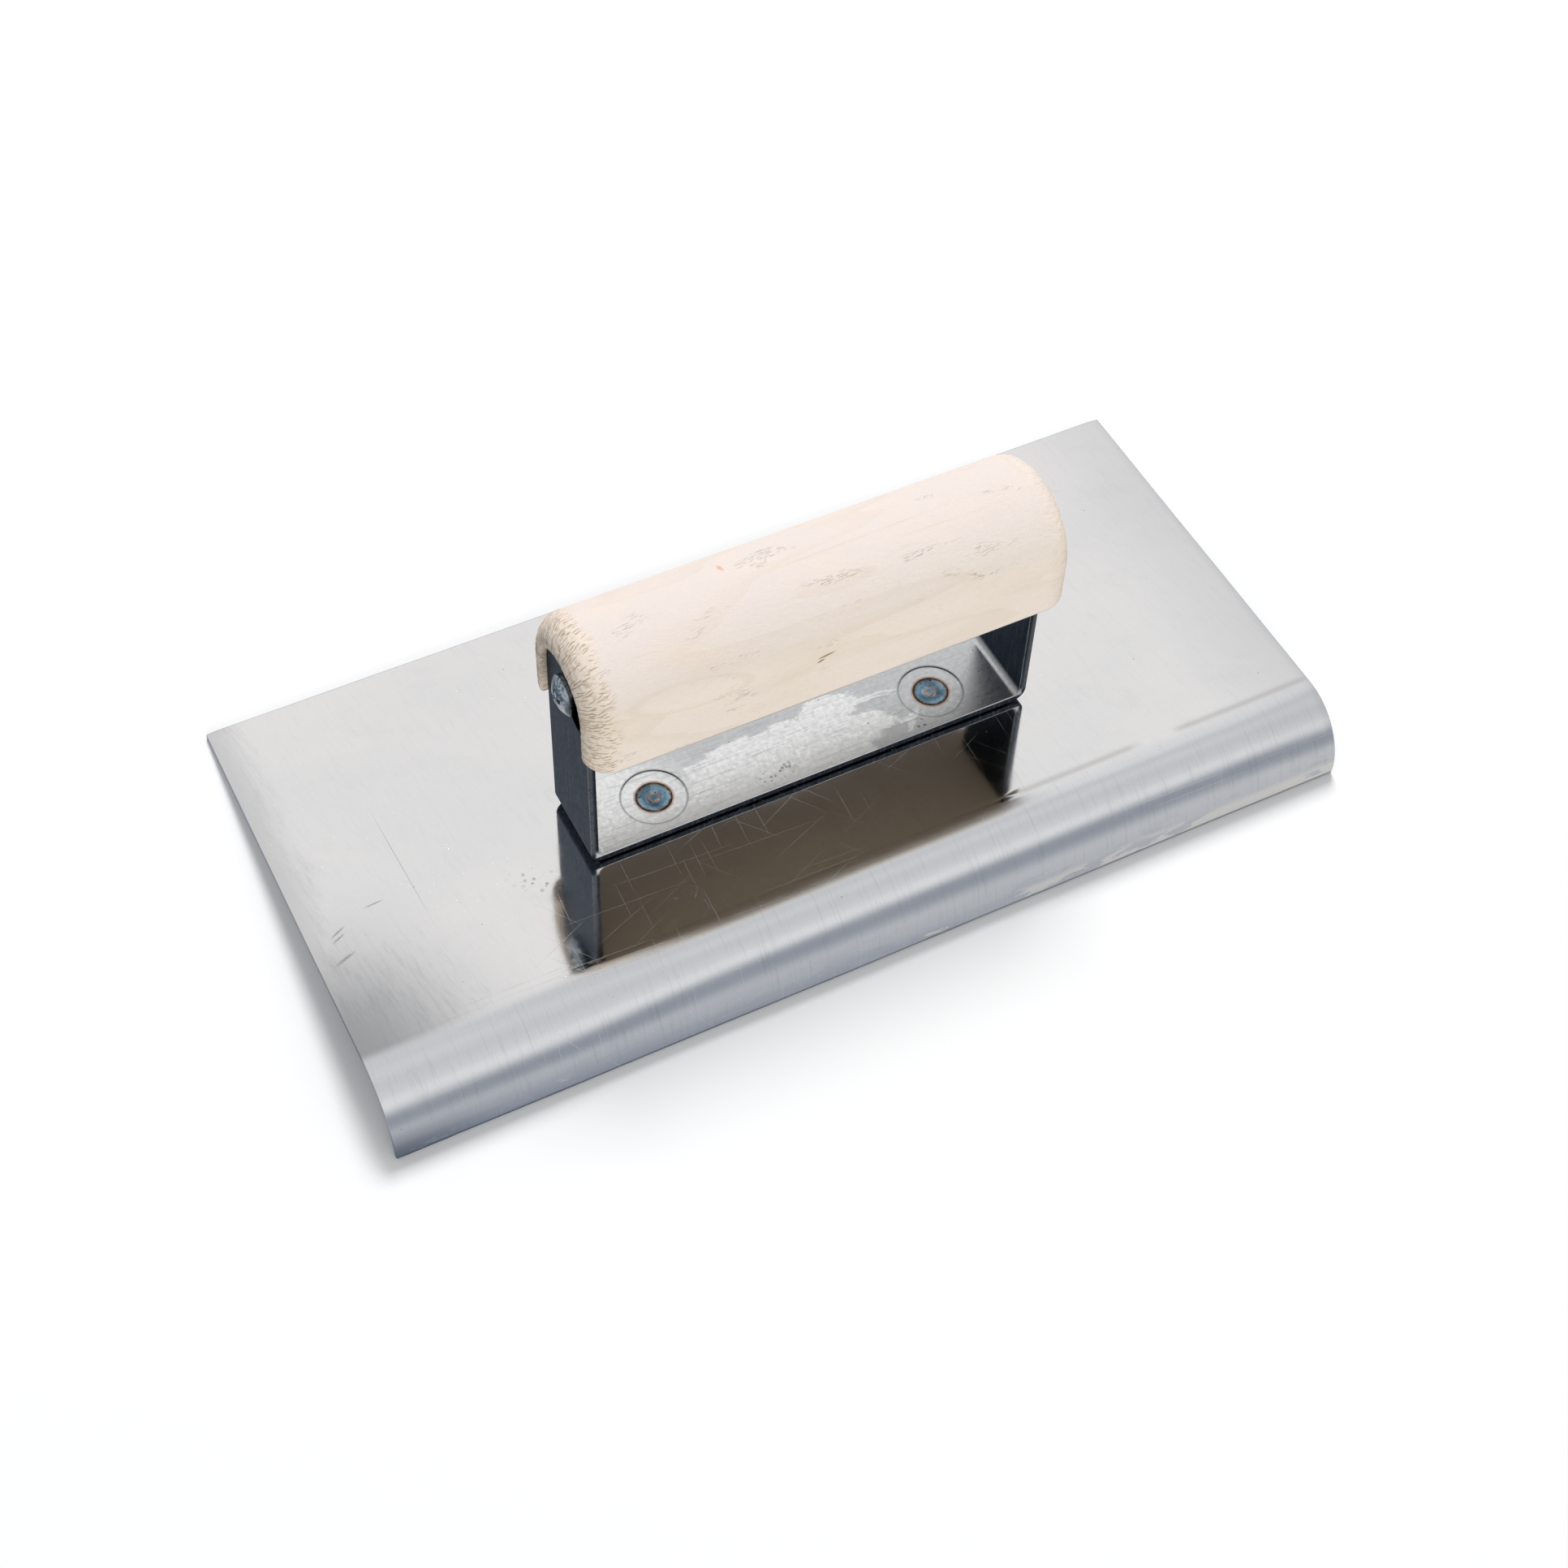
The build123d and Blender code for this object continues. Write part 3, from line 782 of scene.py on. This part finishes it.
def build_blade():
    """The sheet, with softened edges, a slight waviness and the press's mark where the lip starts."""
    width = FLAT_WIDTH + BEND_RADIUS * BLADE["lip_turn"] + BLADE["lip_tail"]
    soft, length = BLADE["edge_round"], BLADE["length"]
    near_bend = [FLAT_WIDTH - 3 + 0.2 * i for i in range(21)]
    arc = [FLAT_WIDTH + 1.0 + 0.8 * i for i in range(1, 33)]
    coarse = [s for s in edge_stops(width, soft, 4.0) if not FLAT_WIDTH - 3.1 < s < width - 1]
    s_stops = sorted(set(coarse + near_bend + arc))
    x_stops = edge_stops(length, soft, 2.5)

    top, bottom, sheet, marks = [], [], [], []
    for x in x_stops:
        pulled = rounded_in(min(x, length - x), BLADE["corner"])
        for s in s_stops:
            s_here = s + pulled * max(1 - s / 4, 0) - pulled * max(1 - (width - s) / 4, 0)
            ragged = 0.10 * noise.noise((x * 0.35, 0, 5)) + 0.12 * noise.noise((x * 0.06, 3, 9))
            s_here += ragged * smoothstep(width - 6, width, s)
            (y, z), (ny, nz) = blade_mid(s_here)
            thinned = max(rounded_in(min(x, length - x), soft), rounded_in(min(s, width - s), soft))
            half = HALF_SHEET - thinned
            wave = waviness(x, s)
            mark = press_mark(x - length / 2, s)
            for points, out in ((top, half + wave - PRESS_DEPTH * mark), (bottom, wave - half)):
                points.append((x - length / 2, y + ny * out, z + nz * out))
            sheet.append((x - length / 2, BLADE["behind"] - s_here, 0))
            marks.append(mark)
    faces = sheet_faces(len(x_stops), len(s_stops))
    blade = add_piece(
        "blade_sheet", top + bottom, faces, blade_material(), "blade", 50.0
    )
    unrolled = blade.data.attributes.new("sheet_mm", "FLOAT_VECTOR", "POINT")
    unrolled.data.foreach_set("vector", [c for p in sheet + sheet for c in p])
    set_values(blade.data, "press_mark", marks + [0.0] * len(marks))
    return blade


# ------------------------------------------------------------------ handle
VOXEL = 0.45
RIGHT_END_TEAR = 0.45       # how torn the right end is, beside 1 at the left one


def in_slot(p):
    """True in a leg's slot, where the wood touches the strap and stays as cut."""
    return abs(p.y) < STRAP["half_width"] + 0.8 and p.z < HANDLE["arch_centre"] + 11.0


def end_grain(p, low, high):
    """The cutter's torn band at each end: how far in it we are, the relief in mm, and the crevices."""
    from_end = min(p.x - low.x, high.x - p.x)
    reach = HANDLE["end_rounding"] + 0.2 + 1.6 * noise.noise((p.x / 9, p.y / 5, p.z / 5))
    band = smoothstep(reach + 1.6, reach - 2.0, from_end)
    band *= smoothstep(HANDLE["bottom"], HANDLE["bottom"] + 1.5, p.z)
    if from_end > 2.8 and in_slot(p):
        band = 0.0
    if band == 0.0:
        return 0.0, 0.0, 0.0
    if p.x > 0:
        band *= RIGHT_END_TEAR
    scale = noise.noise((p.x * 0.42, p.y * 1.25 + p.x * 0.2, p.z * 1.25 + 4))
    fine = noise.noise((p.x * 1.0 + 9, p.y * 2.0, p.z * 2.0))
    crevice = smoothstep(0.20, 0.55, -scale - 0.35 * fine)
    return band, band * (0.09 * scale + 0.05 * fine - 0.13 * crevice), band * crevice


def remeshed_grip():
    """The CAD handle as one skin of small even quads, its edges a little softened."""
    source = frame["nodes"]["wood_handle"]
    grip = bpy.data.objects.new("wood_grip", source.data.copy())
    bpy.context.scene.collection.objects.link(grip)
    remesh = grip.modifiers.new("even_quads", "REMESH")
    remesh.mode = "VOXEL"
    remesh.voxel_size = VOXEL * MM
    soften = grip.modifiers.new("soften", "SMOOTH")
    soften.iterations = 3
    soften.factor = 0.5
    depsgraph = bpy.context.evaluated_depsgraph_get()
    grip.data = bpy.data.meshes.new_from_object(grip.evaluated_get(depsgraph))
    grip.data.name = "wood_grip"
    grip.modifiers.clear()
    return grip


def build_handle():
    """The grip, its ends torn and its sides left a little uneven."""
    grip = remeshed_grip()
    low, high = (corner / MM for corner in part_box("wood_handle"))
    vertices = grip.data.vertices
    points = [0.0] * (3 * len(vertices))
    normals = [0.0] * (3 * len(vertices))
    vertices.foreach_get("co", points)
    grip.data.vertex_normals.foreach_get("vector", normals)
    bands, crevices = [], []
    for i in range(0, len(points), 3):
        tool = (TOOL_FROM_REST @ Vector(points[i:i + 3])) / MM
        band, raised, crevice = end_grain(tool, low, high)
        sway = noise.noise((tool.x / 30, tool.y / 14, tool.z / 14 + 3))
        plane_marks = noise.noise((tool.x / 5, tool.y / 2.2, tool.z / 2.2 + 8))
        depth = (0.06 * sway + 0.012 * plane_marks + raised) * MM
        bands.append(band)
        crevices.append(crevice)
        for axis in range(3):
            points[i + axis] += normals[i + axis] * depth
    vertices.foreach_set("co", points)
    set_values(grip.data, "end_band", bands)
    set_values(grip.data, "torn", crevices)
    dress(grip, wood_material(), 70.0)
    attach(grip, "root")
    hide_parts("wood_handle")
    return grip


# ------------------------------------------------------------------ studio
CAMERA = {"azimuth": -36.15, "elevation": 59.44, "roll": 11.03, "distance": 0.6117, "lens": 59.65}
AIM_FROM_CENTRE = Vector((-0.01207, -0.02050, -0.01398))
FLOOR_REACH = 2.5
FLOOR_GREY = rgb(0.635, 0.635, 0.635)
SOFTBOXES = [   # name, direction towards it, distance, side and power
    ("key_softbox", (0.22, 0.56, 0.80), 2.6, 0.8, 71.0),
    ("fill_softbox", (-0.10, -0.97, 0.20), 2.6, 1.6, 44.0),
]
SKY = [         # degrees from the front horizon over the top to the back one, and how bright the tent is
    (0, 0.60), (5, 0.50), (12, 0.37), (24, 0.37), (31, 0.66), (39, 1.0), (47, 1.02), (57, 0.84),
    (76, 0.76), (92, 0.86), (110, 0.76), (122, 0.96), (132, 1.0), (146, 1.0), (158, 0.6), (168, 0.2),
    (180, 0.2),
]
TENT_SIDES = rgb(0.40, 0.41, 0.43)
TABLE = [       # from straight down to level, how bright the table that the tent stands on is
    (0.0, 0.24), (0.35, 0.36), (0.65, 0.50), (1.0, 0.62),
]
TABLE_RIGHT = rgb(0.88, 0.87, 0.85)


def make_camera():
    centre = (cad_low + cad_high) / 2
    a, e = math.radians(CAMERA["azimuth"]), math.radians(CAMERA["elevation"])
    back = Vector((math.sin(a) * math.cos(e), -math.cos(a) * math.cos(e), math.sin(e)))
    data = bpy.data.cameras.new("camera")
    data.lens = CAMERA["lens"]
    data.sensor_width = 36.0
    data.clip_start = 0.01
    camera = bpy.data.objects.new("camera", data)
    bpy.context.scene.collection.objects.link(camera)
    camera.rotation_mode = "QUATERNION"
    level = (-back).to_track_quat("-Z", "Y").to_matrix().to_4x4()
    rolled = level @ Matrix.Rotation(math.radians(CAMERA["roll"]), 4, "Z")
    camera.rotation_quaternion = rolled.to_quaternion()
    camera.location = centre + AIM_FROM_CENTRE + back * CAMERA["distance"]
    bpy.context.scene.camera = camera


def make_floor():
    mesh = bpy.data.meshes.new("floor")
    corners = [(x * FLOOR_REACH, y * FLOOR_REACH, 0.0) for x, y in ((-1, -1), (1, -1), (1, 1), (-1, 1))]
    mesh.from_pydata(corners, [], [(0, 1, 2, 3)])
    floor = bpy.data.objects.new("floor", mesh)
    bpy.context.scene.collection.objects.link(floor)
    s = Surface("white_floor")
    mesh.materials.append(s.finish(Base_Color=FLOOR_GREY, Roughness=0.9))
    floor.visible_diffuse = False       # it takes the shadow, but neither lights the tool nor shows in it
    floor.visible_glossy = False
    floor.visible_shadow = False


def make_light(name, toward, distance, size, power):
    """A square softbox facing the tool."""
    data = bpy.data.lights.new(name, "AREA")
    data.shape = "SQUARE"
    data.size = size
    data.energy = power
    light = bpy.data.objects.new(name, data)
    bpy.context.scene.collection.objects.link(light)
    direction = Vector(toward).normalized()
    light.location = direction * distance
    light.rotation_mode = "QUATERNION"
    light.rotation_quaternion = direction.to_track_quat("Z", "Y")
    light.visible_glossy = False        # it lights the wood and floor; the metal shows the tent


def greys(stops, cool, span=1.0):
    """Colour stops from places out of span and brightnesses, the darker ones a little blue."""
    colors = []
    for place, light in stops:
        blue = cool * (1 - light)
        colors.append((place / span, rgb(light - blue, light, light + 2 * blue)))
    return colors


def make_world():
    """A white tent with a dim band low down in front, softer bands overhead, and a grey table."""
    world = bpy.data.worlds.new("tent")
    world.use_nodes = True
    bpy.context.scene.world = world
    g = Graph(world.node_tree)
    x, y, z = g.axes(g.node("TexCoord").outputs["Generated"])
    over_top = g.math("ARCTAN2", g.math("MAXIMUM", z, 0.0), g.math("MULTIPLY", y, -1.0))
    sky = g.color_stops(g.math("DIVIDE", over_top, math.pi), greys(SKY, 0.045, 180), "EASE")
    above = g.mix(g.ramp(g.size(x), 0.43, 0.88), sky, TENT_SIDES)
    table = g.color_stops(g.math("ADD", z, 1.0, clamp=True), greys(TABLE, 0.05), "EASE")
    below = g.mix(g.ramp(x, 0.1, 0.55, 0.0, 0.5), table, TABLE_RIGHT)
    light = g.mix(g.ramp(z, -0.06, 0.06), below, above)
    g.plug(g.nodes["Background"].inputs["Color"], light)


# ------------------------------------------------------------------ scene
make_camera()
make_floor()
make_world()
for softbox in SOFTBOXES:
    make_light(*softbox)
bpy.context.scene.view_settings.view_transform = "Standard"

build_blade()
build_handle()
dress(frame["nodes"]["handle_bracket"], strap_material(), 30.0)
for side, sign in (("left", -1), ("right", 1)):
    dress(frame["nodes"][f"spot_weld_{side}"], weld_material(side, sign * WELD["from_middle"]), 30.0)
    dress(frame["nodes"][f"handle_screw_{side}"], screw_material(), 30.0)
